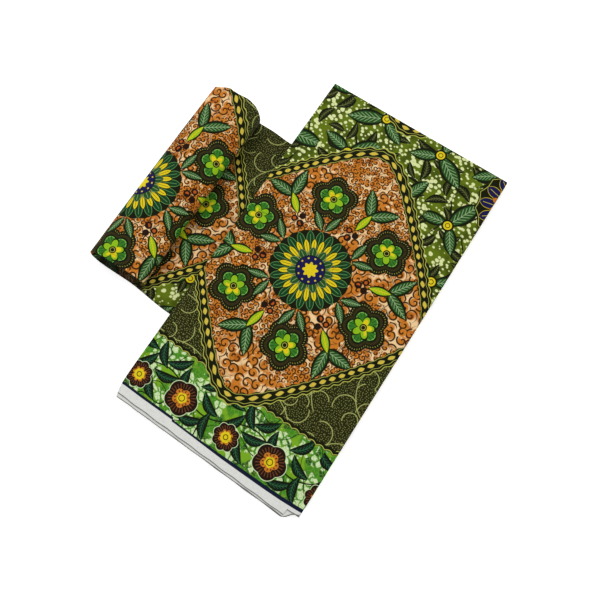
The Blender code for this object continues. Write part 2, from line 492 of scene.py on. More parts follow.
def petal_ring(colour, radius, angle, count, inner, outer, body, edge, phase=0.0):
    """A ring of pointed petals from an inner to an outer radius, each with its outline and rib."""
    off = absolute(fract(angle * (count / FULL_TURN) + phase) - 0.5)
    lateral = off * radius * (FULL_TURN / count)
    share = either((radius - inner) * (1 / (outer - inner)), 0.0)
    squared = share * share
    half = radius * (1.0 - squared * squared) * (math.pi / count * 0.97)
    colour = paint(colour, INK, inside(lateral, half))
    colour = paint(colour, edge, inside(lateral, half - 0.0007))
    colour = paint(colour, body, inside(lateral, half - 0.0014))
    rib = both(inside(lateral, 0.00035), inside(radius, outer * 0.90))
    return paint(colour, edge, rib)


def rosette(colour, radius, angle):
    """The middle of an ogee: three rings of petals, a navy ring with dots and a yellow star."""
    size = ROSETTE_RADIUS
    petals = 22
    rim = absolute(cos(angle * (petals / 2))) * 0.0022
    colour = paint(colour, INK, inside(radius - rim, size * 0.99))
    colour = petal_ring(colour, radius, angle, petals, size * 0.60, size * 1.01, PINE, PETAL_EDGE)
    colour = petal_ring(colour, radius, angle, petals, size * 0.44, size * 0.80, YELLOW, BROWN, 0.5)
    colour = petal_ring(colour, radius, angle, petals / 2, size * 0.28, size * 0.58, LEAF, LEAF_VEIN)
    colour = paint(colour, INK, inside(radius, size * 0.37))
    colour = paint(colour, NAVY, inside(radius, size * 0.35))
    dots = both(ramp(cos(angle * (petals / 2)), 0.55, 0.85), band(radius, size * 0.295, 0.0011))
    colour = paint(colour, YELLOW, dots)
    return paint(colour, YELLOW, inside(radius + cos(angle * 8) * 0.0018, size * 0.17))


def medallion(colour, x, y):
    """The middle of the fields between the ogees: navy petals edged with yellow."""
    size = MEDALLION_RADIUS
    petals = 14
    radius = length_of(x, y)
    angle = angle_of(x, y)
    rim = radius + absolute(sin(angle * (petals / 2))) * 0.0040
    colour = paint(colour, INK, inside(rim, size * 1.07))
    colour = paint(colour, LINE, band(rim, size * 1.03, 0.0005))
    colour = petal_ring(colour, radius, angle, petals, size * 0.52, size * 0.97, NAVY, YELLOW)
    colour = petal_ring(colour, radius, angle, petals, size * 0.36, size * 0.70, ORANGE, BROWN, 0.5)
    colour = paint(colour, GREEN, inside(radius, size * 0.44))
    colour = petal_ring(colour, radius, angle, 8, size * 0.08, size * 0.40, LIME, INK)
    return paint(colour, YELLOW, inside(radius, size * 0.10))


def blossom_lobes(colour, radius, angle, size):
    """The outer part of a blossom: five dark hatched lobes with a row of beads, and green within."""
    lobes = absolute(cos(angle * 2.5))
    frill = absolute(sin(angle * 17)) * 0.0010
    colour = paint(colour, INK, inside(radius - frill, lobes * (size * 0.24) + size * 0.78))
    bead_row = band(radius - lobes * (size * 0.22), size * 0.70, 0.0009)
    colour = paint(colour, LOBE_DOT, both(rays(angle, 60, 0.3, 0.8), bead_row) * 0.8)
    hatch_row = band(radius - lobes * (size * 0.21), size * 0.555, size * 0.055)
    colour = paint(colour, LOBE_HATCH, both(rays(angle, 90, 0.1, 0.7), hatch_row))
    colour = paint(colour, LOBE_EDGE, inside(radius, lobes * (size * 0.20) + size * 0.42))
    colour = paint(colour, LOBE, inside(radius, lobes * (size * 0.20) + size * 0.385))
    streaks = both(rays(angle, 25, 0.7, 0.95), band(radius, size * 0.50, size * 0.10))
    return paint(colour, PINE, streaks)


def blossom(colour, x, y, size):
    """A five-lobed blossom with green inner petals and a yellow blush."""
    radius = length_of(x, y)
    angle = angle_of(x, y)
    colour = blossom_lobes(colour, radius, angle, size)
    petals = absolute(sin(angle * 2.5))
    colour = paint(colour, INK, inside(radius, petals * (size * 0.28) + size * 0.23))
    colour = paint(colour, LIME, inside(radius, petals * (size * 0.25) + size * 0.19))
    blush = inside(radius, petals * (size * 0.21) + size * 0.14) * ramp(sin(angle + 0.6), -0.2, 0.1)
    colour = paint(colour, YELLOW, blush)
    colour = paint(colour, INK, inside(radius, size * 0.15))
    return paint(colour, LINE, band(radius, size * 0.09, 0.0004))


def on_ring(radius, turned):
    """The place about the nearest point of the ring of blossoms: x outwards and y round the ring."""
    off = (fract(turned) - 0.5) * (FULL_TURN / FLOWERS)
    return radius * cos(off) - FLOWER_RING, radius * sin(off)


def between_blossoms(colour, x, y):
    """Three berries, two leaves and a bud."""
    for inwards, aside, size in ((0.041, 0.0, 0.0056), (0.031, 0.0062, 0.0050)):
        berry = length_of(x + inwards, absolute(y) - aside)
        colour = paint(colour, PLUM, inside(berry, size))
        colour = paint(colour, BERRY, both(inside(berry, size * 0.5), ramp(y, -0.001, 0.0)))
    colour = leaf_pair(colour, x - 0.0200, y, 0.0125, 0.72, 0.0, 0.0260, 0.0104)
    return leaf(colour, x + 0.008, y, 0.0180, 0.0074, LIME, YELLOW)


def ogee(colour, x, y):
    """Motifs of an ogee about its middle: a rosette, a ring of blossoms and leaves between."""
    radius = length_of(x, y)
    angle = angle_of(x, y)
    turned = angle * (FLOWERS / FULL_TURN) + 0.25
    flower_x, flower_y = on_ring(radius, turned + 0.5)
    between_x, between_y = on_ring(radius, turned)
    vine = radius - FLOWER_RING + cos(turned * FULL_TURN) * 0.0130
    colour = paint(colour, PEACH, band(vine, 0.0, 0.0013))
    colour = paint(colour, PLUM, band(vine, 0.0, 0.0006))
    colour = between_blossoms(colour, between_x, between_y)
    colour = blossom(colour, flower_x, flower_y, FLOWER_RADIUS)
    colour = leaf_pair(colour, flower_x + 0.0300, flower_y, 0.0160, 0.55, -0.010, 0.0170, 0.0074)
    return rosette(colour, radius, angle)


def dark_leaves(colour, x, y):
    """Small dark leaves, each bent, at its own angle and of its own size."""
    dx, dy, first, second = scattered(x + 0.53, y + 0.17, 0.031, 0.7)
    leaf_x, leaf_y = turn(dx, dy, first * FULL_TURN)
    bent = leaf_y - leaf_x * leaf_x * LEAF_BEND + 0.001
    scale = 1.25 - second * 0.55
    return leaf(colour, leaf_x * scale, bent * scale, 0.0165, 0.0062, INK, DARK_LEAF_VEIN)


def leaf_sprays(colour, x, y):
    """Sprays of three large leaves about a yellow bud."""
    dx, dy, first, unused = scattered(x + 0.020, y, 0.092, 0.42)
    px, py = turn(dx, dy, first * FULL_TURN)
    colour = leaf(colour, px - 0.0265, py, 0.0310, 0.0142)
    colour = leaf_pair(colour, px + 0.004, py, 0.006, 2.15, 0.0180, 0.0240, 0.0106)
    bud = length_of(px + 0.003, py)
    colour = paint(colour, INK, inside(bud, 0.0094))
    colour = paint(colour, YELLOW, inside(bud, 0.0066))
    return paint(colour, BROWN, band(bud, 0.0034, 0.0006))


def olive_ground(x, y):
    """Moss green with pale bubbles, tendrils, small dark leaves and sprays of large ones."""
    place = vector(x, y)
    bubble = from_point(x + y * 0.35, y * 1.15 - x * 0.15, 0.0080)
    size = noise(place, 50.0, 1.0) * 0.80 - 0.14
    colour = paint(OLIVE, MOSS, patches(place, 30.0, 0.42, 0.62))
    colour = paint(colour, CREAM, ramp(bubble - size, 0.09, -0.05))
    stroke = patches(place, 24.0, 0.30, 0.75, 0.0) * 0.020
    colour = paint(colour, INK, inside(absolute(noise(place, 12.0, 0.0) - 0.5), stroke, 0.008))
    return leaf_sprays(dark_leaves(colour, x, y), x, y)


# Arcs of a spray on the dark ground: place along its spine, side and radius
SPRAY_ARCS = ((-0.020, 1, 0.0150), (-0.008, -1, 0.0170), (0.007, 1, 0.0140), (0.016, -1, 0.0110))


def dark_ground(x, y):
    """Near black with fine dots, and loose sprays of curved pale lines."""
    colour = paint(DARK, DARK_DOT, ramp(from_point(x, y, 0.0031, 0.75), 0.26, 0.14))
    dx, dy, first, unused = scattered(x + 0.04, y + 0.02, 0.062, 0.30)
    px, py = turn(dx, dy, first * FULL_TURN)
    spine = py - px * px * 9.0
    lines = both(band(spine, 0.0, 0.0006), inside(absolute(px), 0.033, 0.004))
    for at, side, size in SPRAY_ARCS:
        arc_x = px - at - size * 0.75
        arc_y = py - side * size * 0.95
        inner_part = ramp(arc_x + arc_y * (side * 0.35), 0.25 * size, 0.20 * size)
        arc = both(band(length_of(arc_x, arc_y), size, 0.0006), inner_part)
        lines = either(lines, both(arc, ramp(spine * side, -0.0005, 0.0008)))
    near = inside(length_of(dx, dy), 0.036, 0.004)
    return paint(colour, SPRAY, both(lines, near))


def border(colour, depth, angle):
    """A dark band round each ogee, with a chain of pale links along it and wavy lines beside it."""
    wave = cos(angle * BORDER_LINKS) * 0.0012
    middle = depth + BORDER_WIDTH * 0.46
    colour = paint(colour, INK, band(middle - wave, -0.0010, BORDER_WIDTH * 0.5 + 0.0018))
    colour = paint(colour, LINE, band(middle - wave * 0.4, 0.0056, 0.00035))
    colour = paint(colour, LINE, band(middle - wave * 0.7, -0.0058, 0.00035))
    colour = paint(colour, LINE, band(middle - wave, -0.0096, 0.0006))
    link = absolute(cos(angle * (BORDER_LINKS / 2)))
    chain = absolute(middle) - (link - 0.48) * 0.0050
    colour = paint(colour, CHAIN_EDGE, inside(chain, 0.0004))
    return paint(colour, CHAIN, inside(chain, -0.0003))


# The vine of the selvedge's band repeats at this pitch
VINE_PITCH = 0.152

# Its leaves: place along the vine, distance from the selvedge, and lean
VINE_LEAVES = (
    (-0.052, 0.064, 0.9),
    (-0.028, 0.036, -0.9),
    (-0.008, 0.086, 0.6),
    (0.010, 0.070, -1.2),
    (0.050, 0.090, 0.9),
    (0.058, 0.062, -0.5),
    (0.046, 0.030, 0.4),
    (-0.066, 0.090, -0.4),
    (-0.016, 0.060, 0.2),
    (-0.036, 0.085, -1.0),
    (0.066, 0.036, -1.3),
)

# Its round flowers: place along the vine, distance from the selvedge, radius, half the number of
# lobes, and the heart's share of the radius
ROUND_FLOWERS = (
    (-0.050, 0.042, 0.0165, 4, 0.42),
    (0.020, 0.049, 0.0210, 2.5, 0.30),
)


def crackled_green(x, y):
    """Bright green in uneven patches, with pale cells and crackle."""
    place = vector(x, y)
    wobble = noise(place, 120.0) - 0.5
    cells = from_cell_edge(x + wobble * 0.007, y - wobble * 0.007, 0.0098)
    thin = patches(place, 32.0, 0.38, 0.66, 1.0)
    pale = ramp(cells - thin * 0.40, 0.05, 0.17)
    colour = paint(GREEN, LIME, patches(vector(x, y + 0.7), 40.0, 0.50, 0.64, 1.0) * 0.6)
    colour = paint(colour, PINE, patches(vector(x, y + 1.7), 60.0, 0.58, 0.68, 1.0) * 0.8)
    colour = paint(colour, MINT, pale)
    return paint(colour, CRACKLE, ramp(from_cell_edge(x + 0.37, y, 0.0060), 0.07, 0.02) * 0.7)


def round_flower(colour, x, y, size, lobes, heart):
    """A frilled dark flower with rays, an orange disc and a yellow heart."""
    radius = length_of(x, y)
    angle = angle_of(x, y)
    frill = absolute(cos(angle * lobes)) * (size * 0.18)
    colour = paint(colour, MINT, inside(radius - frill, size * 1.05))
    colour = paint(colour, PLUM, inside(radius - frill, size))
    outer_rays = both(rays(angle, 26, 0.3, 0.9), band(radius, size * 0.80, size * 0.16))
    colour = paint(colour, FLOWER_RAY, outer_rays)
    colour = paint(colour, ORANGE, inside(radius - frill * 0.8, size * 0.50))
    inner_rays = both(rays(angle, 13, 0.3, 0.8), band(radius, size * 0.48, size * 0.07))
    colour = paint(colour, BROWN, inner_rays)
    colour = paint(colour, YELLOW, inside(radius - frill * 0.4, size * heart))
    return paint(colour, BROWN, band(radius, size * 0.20, 0.0006))


def selvedge_band(x, y):
    """Bright green with pale crackled cells, and a dark vine with leaves and round flowers."""
    colour = crackled_green(x, y)
    along = (fract(x * (1 / VINE_PITCH) + 0.12) - 0.5) * VINE_PITCH
    stem = y - 0.060 - sin(x * (FULL_TURN / VINE_PITCH)) * 0.013
    colour = paint(colour, INK, band(stem, 0.0, 0.0010))
    colour = paint(colour, INK, band(noise(vector(x, y), 21.0, 0.0), 0.5, 0.008, 0.005))
    for at, out, lean in VINE_LEAVES:
        leaf_x, leaf_y = turn(along - at, y - out, lean)
        bent = leaf_y - leaf_x * leaf_x * LEAF_BEND + 0.0012
        colour = leaf(colour, leaf_x, bent, 0.0205, 0.0072, VINE_LEAF, VINE_LEAF_VEIN)
    for at, out, size, lobes, heart in ROUND_FLOWERS:
        colour = round_flower(colour, along - at, y - out, size, lobes, heart)
    return colour


def scalloped_edge(colour, x, y):
    """The selvedge's band laid over the fields, with a scalloped dark edge and a pale line in it."""
    edge = y - BAND_TO - absolute(sin(x * (math.pi / SCALLOP))) * 0.0028
    colour = paint(colour, selvedge_band(x, y), ramp(edge, 0.0003, -0.0003))
    colour = paint(colour, INK, band(edge, 0.0028, 0.0030))
    return paint(colour, LINE, band(edge, 0.0012, 0.0006))


def wax_print(x, y):
    """The whole print at a place of the cloth, x along it and y across it from the selvedge."""
    step_s, step_w = OGEE_PITCH
    count_s = (x - OGEE_AT[0]) * (1 / step_s)
    count_w = (y - OGEE_AT[1]) * (1 / step_w)
    near_x = (fract(count_s + 0.5) - 0.5) * step_s
    near_y = (count_w - either(floor_of(count_w + 0.5), 0.0)) * step_w
    # the ogees are where the sum of two cosines is above a level, and depth is how far inside a place is
    wave_x = near_x * (FULL_TURN / step_s)
    wave_y = either(near_y * (FULL_TURN / step_w), -math.pi)
    level = cos(wave_x) + cos(wave_y) - OGEE_LEVEL
    slope = length_of(sin(wave_x) * (FULL_TURN / step_s), sin(wave_y) * (FULL_TURN / step_w))
    depth = level / either(slope, 5.0)
    # the fields between them are olive and dark by turns
    parity = fract(floor_of(count_w) * 0.5) * 2.0
    colour = paint(olive_ground(x, y), dark_ground(x, y), ramp(parity, 0.4, 0.6))
    colour = medallion(colour, (fract(count_s) - 0.5) * step_s, (fract(count_w) - 0.5) * step_w)
    colour = scalloped_edge(colour, x, y)
    colour = paint(colour, ogee(orange_ground(x, y), near_x, near_y), ramp(depth, -0.0004, 0.0004))
    return border(colour, depth, angle_of(near_x, near_y))


def wax_cracks(colour, x, y):
    """Fine cracks where the wax broke."""
    place = vector(x, y)
    bend = noise(place, 45.0, 3.0) * 0.016
    cracks = ramp(from_cell_edge(x + bend, y - bend, 0.026), 0.020, 0.008)
    return paint(colour, BROWN, both(cracks, patches(place, 35.0, 0.48, 0.62, 1.0)) * 0.45)


def bare_selvedge(colour, x, y):
    """The unprinted selvedge with a grey line of painted shade along its very edge, and the dark line that
    the print ends with, which steps towards the selvedge at its jog and grows wider from there."""
    past_jog = ramp(x, JOG_AT - 0.0005, JOG_AT + 0.0005)
    line_at = (1.0 - past_jog) * JOG + NAVY_LINE_AT
    weft = noise(vector(x * 0.1, y * 3.0), 900.0, 1.0)
    bare = paint(SELVEDGE, SELVEDGE_WEFT, ramp(weft, 0.45, 0.75) * 0.5)
    # a grey line of painted shade along the cloth's very edge, where the plies' edges fall into shade
    bare = paint(bare, PLY_EDGE_SHADE, inside(absolute(y), 0.0011))
    colour = paint(colour, bare, inside(y - line_at, 0.0004))
    half_line = ramp(x, 0.10, 0.22) * 0.0013 - past_jog * 0.00045 + 0.00185
    return paint(colour, NAVY_LINE, inside(absolute(y - line_at - half_line), half_line))


def weave_bump(x, y):
    """The relief of the threads, crossed and uneven, as a normal."""
    tree = x.tree
    threads = FULL_TURN / THREAD_PITCH
    weave = sin(x * threads) * sin(y * threads)
    slub = noise(vector(x * 6.0, y), 420.0) + noise(vector(x, y * 6.0), 420.0)
    bump = tree.nodes.new("ShaderNodeBump")
    bump.inputs["Strength"].default_value = 0.35
    bump.inputs["Distance"].default_value = 0.00025
    plug(tree, bump.inputs["Height"], weave * 0.25 + slub * 0.6)
    return Field(tree, bump.outputs["Normal"])


def read_map(tree, name):
    """The place on one of the cloth's maps."""
    node = tree.nodes.new("ShaderNodeUVMap")
    node.uv_map = name
    return Field(tree, node.outputs["UV"])


def cloth_material():
    """Printed cotton: the print, fine cracks of the wax, the weave and a slight sheen."""
    cotton = bpy.data.materials.new("wax_print_cotton")
    cotton.use_nodes = True
    tree = cotton.node_tree
    shader = tree.nodes["Principled BSDF"]
    place = read_map(tree, "Cloth")
    x, y, unused = split(place)
    colour = wax_cracks(wax_print(x, y), x, y)
    colour = bare_selvedge(colour, x, y)
    # dye that took a little unevenly
    colour = paint(colour, BLACK, ramp(noise(place, 300.0, 3.0, 0.65), 0.40, 0.75) * 0.10)
    # painted shade where the cloth lies far inside the roll's ends and along the tail's near edge, where
    # little light gets in
    shade_mask, unused, unused = split(read_map(tree, "Depth"))
    colour = paint(colour, PAINTED_SHADE, shade_mask * PAINTED_SHADE_SHARE)
    plug(tree, shader.inputs["Base Color"], colour)
    plug(tree, shader.inputs["Normal"], weave_bump(x, y))
    plug(tree, shader.inputs["Roughness"], patches(place, 70.0, 0.3, 0.7) * 0.10 + 0.66)
    shader.inputs["Specular IOR Level"].default_value = 0.07
    shader.inputs["Sheen Weight"].default_value = 0.015
    shader.inputs["Sheen Roughness"].default_value = 0.45
    return cotton


# Cloth shapes, in U and V until they are placed

# Where the top panel's nick is, as a share of its width, and how far the near edge stands back from
# there on: at the nick, near the corner and at the corner
NICK_AT = 0.934
NICK_SHARES = (NICK_AT, 0.985, 1.0)
NICK_REACH = (-0.8 * MM, 0.5 * MM, 3.0 * MM)

# Where the near right corners of the panels under it turn back in, and over what share of the width
LOOSE_CORNER = 0.935
LOOSE_TURN = 0.043

# Where each panel's edges are, from the bottom one up, in millimetres: how far out its left and right
# sides stand, how far back its near edge's left and right ends, and how far out its far fold
PANEL_ROWS = [
    # left, right, near left, near right, far
    (-1.0, -1.5, 3.2, -7.0, -1.0),
    (-0.4, -0.8, 2.4, -9.0, -0.4),
    (0.0, -0.5, 0.6, -11.5, 0.2),
    (-1.2, 0.0, 2.0, -9.5, -1.4),
    (-1.8, 0.2, 1.2, -11.8, -2.0),
    (-0.8, -1.2, 2.2, -10.0, -0.6),
    (-0.4, -2.0, -0.2, -12.5, 1.0),
    (-1.2, -0.2, 1.6, -10.5, -0.2),
    (-1.6, 0.8, 0.4, -12.0, -1.2),
    (-0.6, -1.0, 2.0, -10.2, 0.4),
    (-1.2, -0.4, -0.6, -11.8, -0.6),
    (0.0, 0.0, 4.4, -9.4, 0.0),
]

# The near left corner is drawn in, by so much, over this share of the length
CORNER_IN = 0.004
CORNER_SHARE = 0.02

# Unevenness: ripples of the near edges, air between the panels, and swells of the top one, whose
# right edge droops
RIPPLE = 0.0004
AIR_ALONG = 0.00008
AIR_ACROSS = 0.00006
SWELL = 0.0007
DROOP = 0.0004

# How far the stack rises over the tail, at its bottom and at its top, and the way that it takes to
# come down again, from a little beyond the tail's edges
RISE_AT_BOTTOM = 0.0021
RISE_AT_TOP = 0.0009
FALL_STARTS = 0.006
FALL_AT_BOTTOM = 0.010
FALL_AT_TOP = 0.045

# The bake map keeps a margin, and the top panel takes up about half of its width
BAKE_MARGIN = 0.01
BAKE_SPAN = 0.98
TOP_BAKE_SPAN = 0.53


def stops(first, *runs):
    """Shares along a sheet: from the first one to the end of each run, in that run's equal steps."""
    shares = [first]
    for end, steps in runs:
        shares.extend(np.linspace(shares[-1], end, steps + 1)[1:])
    return np.array(shares)


def over_tail(u, v, fall):
    """1 where the stack lies on the tail, falling to 0 beyond its edges."""
    past_end = u - TAIL_TUCKED_TO
    before = TAIL_NEAR_AT_STACK - v
    beyond = v - TAIL_FAR_AT_STACK
    return 1 - ease((np.maximum(past_end, np.maximum(before, beyond)) - FALL_STARTS) / fall)


def lift(u, v, height_share):
    """How far the stack's layers rise over the tail: fully at the bottom, a little at the top."""
    at_bottom = RISE_AT_BOTTOM * over_tail(u, v, FALL_AT_BOTTOM)
    at_top = RISE_AT_TOP * over_tail(u, v, FALL_AT_TOP)
    return mix(at_bottom, at_top, height_share)


def left_edge(v_share, out):
    """A panel's left side bellies out, less so at the near corner and towards the far end."""
    belly = mix(LEFT_BELLY_NEAR, LEFT_BELLY_FAR, v_share)
    return -belly - out + CORNER_IN * np.exp(-v_share / CORNER_SHARE)


def near_edge(u_share, near_left, near_right, loose):
    """A panel's near edge slants outwards to the right. The top one has a nick at the right, and
    the corners of the loose ones under it turn back in."""
    if not loose:
        reach = mix(near_left, near_right, u_share / NICK_AT)
        beyond = np.interp(u_share, NICK_SHARES, NICK_REACH)
        return mix(reach, beyond, ease((u_share - NICK_AT) / 0.003))
    reach = mix(near_left, near_right, np.minimum(u_share / LOOSE_CORNER, 1.0))
    return mix(reach, 0.0, ease((u_share - LOOSE_CORNER) / LOOSE_TURN))


def panel_height(number, u, v):
    """Height of a panel's middle, with air between the panels that varies a little along them."""
    level = PANEL_PITCH * (number + 0.5)
    airy = AIR_ALONG * np.sin(v * 23 + number * 1.3)
    airy = airy + AIR_ACROSS * np.sin(u * 31 - v * 9 + number * 2.1)
    return level + airy + lift(u, v, level / STACK_HEIGHT)


def panel_row(number, u_share, v_share):
    """A row of points from a panel's near edge to its far fold, at a share of its width."""
    left, right, near_left, near_right, far = (value * MM for value in PANEL_ROWS[number])
    near = near_edge(u_share, near_left, near_right, number < PANELS - 1)
    ripple = RIPPLE * np.sin(u_share * (17 + 3 * number) + number * 1.7) * np.exp(-v_share / 0.05)
    u = mix(left_edge(v_share, left), STACK_WIDTH + right, u_share)
    v = mix(near + ripple, STACK_LENGTH + far, v_share)
    return np.stack([u, v, panel_height(number, u, v)], axis=-1)


def surface(name, points, cloth, bake, wall, material, depth):
    """A grid of points as a mesh with its maps, thickened by a wall about its middle."""
    rows, columns = points.shape[:2]
    mesh = bpy.data.meshes.new(name)
    index = np.arange(rows * columns).reshape(rows, columns)
    faces = np.stack([index[:-1, :-1], index[1:, :-1], index[1:, 1:], index[:-1, 1:]], axis=-1)
    placed = points + np.array(CORNER)
    mesh.from_pydata(placed.reshape(-1, 3).tolist(), [], faces.reshape(-1, 4).tolist())
    corners = faces.reshape(-1)
    # the third map carries how much painted shade each point gets
    painted_shade_map = np.stack([depth, depth], axis=-1)
    for label, values in (("Cloth", cloth), ("OFBake", bake), ("Depth", painted_shade_map)):
        layer = mesh.uv_layers.new(name=label)
        layer.data.foreach_set("uv", values.reshape(-1, 2)[corners].astype(np.float32).ravel())
    mesh.materials.append(material)
    mesh.shade_smooth()
    piece = bpy.data.objects.new(name, mesh)
    bpy.context.scene.collection.objects.link(piece)
    solid = piece.modifiers.new("wall", "SOLIDIFY")
    solid.thickness = wall
    solid.offset = 0.0
    solid.use_even_offset = True
    return piece


def in_bake(values, span=BAKE_SPAN):
    """Numbers laid out from the bake map's margin on, over a span of it."""
    return BAKE_MARGIN + span * (values - values.min()) / np.ptp(values)


def grid_map(row_values, column_values):
    """A map of a grid of points, from a number for each row and one for each column."""
    return np.stack(np.broadcast_arrays(row_values[:, None], column_values[None, :]), axis=-1)


# Creases of the top panel: place along it, slant, height and half width of those that run across it
CREASES_ACROSS = (
    (0.27, 0.06, 0.30 * MM, 10 * MM),
    (0.52, -0.05, 0.40 * MM, 14 * MM),
    (0.79, 0.04, 0.25 * MM, 9 * MM),
)

# Place over its width, height and half width of those that run along it
CREASES_ALONG = (
    (0.36, 0.25 * MM, 7 * MM),
    (0.68, 0.20 * MM, 6 * MM),
)


def swells(u, v):
    """Soft unevenness of the top panel: long low swells, and shallow creases from its folding."""
    across = u / STACK_WIDTH
    along = v / STACK_LENGTH
    inner = ease(across / 0.10) * ease((1 - across) / 0.10) * ease(along / 0.06) * ease((1 - along) / 0.06)
    waves = np.sin(5.1 * across + 3.7 * along + 0.4) * np.cos(8.3 * along - 2.1 * across)
    height = SWELL * (0.5 + 0.5 * waves)
    for at, slant, rise, width in CREASES_ACROSS:
        off = (along - at - slant * (across - 0.5)) * STACK_LENGTH
        reach = ease((across - 0.05) / 0.2) * ease((0.98 - across) / 0.3)
        height = height + rise * np.exp(-(off / width) ** 2) * reach
    for at, rise, width in CREASES_ALONG:
        off = (across - at - 0.02 * np.sin(6 * along)) * STACK_WIDTH
        reach = ease(along / 0.2) * ease((0.9 - along) / 0.3)
        height = height + rise * np.exp(-(off / width) ** 2) * reach
    return height * inner


# How far the print lies askew at the selvedge, in millimetres along the stack's short side
ASKEW_AT = (0, 30, 60, 90, 130, 170, 200, 240, 270, 290, 303)
ASKEW = (0, 1.8, 2.8, 3.9, 6.3, 8.8, 9.8, 11.0, 11.3, 10.7, 10.1)

# How much of the top panel turns under it at its left fold
TURNED_UNDER = 0.024


def top_cloth(s, v):
    """Cloth coordinates of the top panel: the print runs a little askew along the selvedge, and W is
    0 all along the very edge."""
    askew = np.interp(s / MM, ASKEW_AT, ASKEW) * MM * (1 - ease((v - 0.02) / 0.4))
    from_edge = v - v[:, :1]
    w = mix(from_edge, v - 0.0012 + askew, ease((from_edge - 0.0015) / 0.0015))
    return np.stack([s, w], axis=-1)


def top_panel_rows(v_share):
    """The top panel's rows from right to left and under its left fold, and S along the cloth at each."""
    radius = PANEL_PITCH / 2
    bends = 7
    rows = []
    lengths = []
    for share in stops(1.0, (0.96, 7), (NICK_AT + 0.012, 2), (NICK_AT + 0.004, 1), (NICK_AT, 4),
                       (0.04, 61), (0.0025, 9)):
        row = panel_row(PANELS - 1, share, v_share)
        u = row[:, 0]
        droop = DROOP * np.exp(-(STACK_WIDTH - u) / 0.004)
        row[:, 2] += swells(u, row[:, 1]) - droop
        rows.append(row)
        lengths.append(u)
    last = rows[-1]
    for angle in np.linspace(0.0, math.pi, bends + 1)[1:]:
        round_fold = np.array([math.sin(angle), 0.0, 1 - math.cos(angle)])
        rows.append(last - radius * round_fold)
        lengths.append(last[:, 0] - radius * angle)
    for step in np.linspace(0.0, TURNED_UNDER, 9)[1:]:
        rows.append(last + np.array([step, 0.0, -2 * radius]))
        lengths.append(last[:, 0] - radius * math.pi - step)
    return np.stack(rows), np.stack(lengths)


def top_panel(material):
    """The top panel with the fold at its left side, which turns under it for a short way."""
    v_share = stops(0.0, (0.0026, 1), (0.006, 1), (0.04, 7), (0.96, 119), (1.0, 9))
    points, along = top_panel_rows(v_share)
    v = points[..., 1]
    bake = np.stack([in_bake(along, TOP_BAKE_SPAN), in_bake(v)], axis=-1)
    piece = surface("top_panel_cloth", points, top_cloth(along, v), bake, PANEL_WALL, material,
                    np.zeros_like(v))
    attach(piece, "root")
    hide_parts("top_panel")


# The print's S at the bottom panel's left side
STACK_PRINT_S = 0.137


def side_fold(here, there, side):
    """Rows between the ends of two panels, round the fold at the stack's left (-1) or right (1) side,
    and the way along the cloth from one row to the next."""
    radius = PANEL_PITCH / 2
    bends = 6
    rows = []
    for bend in range(1, bends):
        angle = math.pi * bend / bends
        row = mix(here, there, (1 - math.cos(angle)) / 2)
        row[:, 0] += side * radius * math.sin(angle) * 1.6
        rows.append(row)
    return rows, radius * math.pi / bends


def folded_stack_rows(v_share):
    """Rows of the zig-zag from the bottom panel up, and S along the cloth at each."""
    shares = stops(0.004, (0.010, 1), (0.025, 1), (0.06, 1), (0.12, 1), (0.18, 1), (0.82, 8), (0.88, 1),
                   (0.92, 1), (0.935, 1), (0.965, 3), (0.978, 1), (0.990, 1), (0.996, 1))
    rows = []
    along = []
    for number in range(PANELS - 1):
        leftwards = number % 2 == 1
        order = shares[::-1] if leftwards else shares
        for share in order:
            row = panel_row(number, share, v_share)
            u = row[:, 0]
            rows.append(row)
            along.append(number * STACK_WIDTH + (STACK_WIDTH - u if leftwards else u))
        if number < PANELS - 2:
            there = panel_row(number + 1, order[-1], v_share)
            fold, step = side_fold(rows[-1], there, -1 if leftwards else 1)
            for row in fold:
                rows.append(row)
                along.append(along[-1] + step)
    return np.stack(rows), np.stack(along)


def folded_stack(material):
    """All the panels under the top one, in one zig-zag of cloth folded at both sides."""
    v_share = stops(0.0, (0.05, 7), (0.95, 43), (1.0, 7))
    points, along = folded_stack_rows(v_share)
    from_edge = points[..., 1] - points[:, :1, 1]
    cloth = np.stack([along + STACK_PRINT_S, from_edge], axis=-1)
    bake = grid_map(in_bake(np.arange(len(points))), in_bake(v_share))
    piece = surface("folded_stack_cloth", points, cloth, bake, PANEL_WALL, material,
                    np.zeros_like(from_edge))
    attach(piece, "root")
    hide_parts("stack_core", "second_panel")


# Where the print lies on the tail: S at the stack's left side, and the sum of W and V, as this ply
# faces the other way
ROLL_PRINT_S = 0.300
ROLL_PRINT_W = 0.580

# How far the roll's far end stands out, in millimetres, along its turns, which go left, over the top
# and right
ROLL_FAR_TURNS = (0.0, 0.25, 0.35, 0.40, 0.45, 0.50, 0.55, 0.60, 0.65, 0.70, 0.76, 1.0, 1.5, 2.2, 7.0)
ROLL_FAR_REACH = (0, 0.5, -1.0, 0.5, 5, 3.4, 5, 3, -1, -5, -8, -8, -3, -7, -4)

# How far its near end stands back, likewise
ROLL_NEAR_TURNS = (0.0, 0.10, 0.20, 0.30, 0.50, 0.75, 1.0, 1.3, 2.0, 4.0, 7.0)
ROLL_NEAR_REACH = (-1.4, -1.0, 0.4, 2.5, 4.6, 5.6, 8, 10, 9, 11, 8)

# The roll's left side draws in towards its far end along the first part of a smooth step: how far
# in the whole step goes, and where it starts and how long it is, in shares of the roll's length
ROLL_TAPER = 0.00756
TAPER_FROM = 0.1
TAPER_LENGTH = 1.4

# The tail between the roll and the stack: how high it swells, and how far and where its far edge
# bulges
TAIL_SWELL = 0.0009
TAIL_BULGE = 0.0018
TAIL_BULGE_AT = -0.040

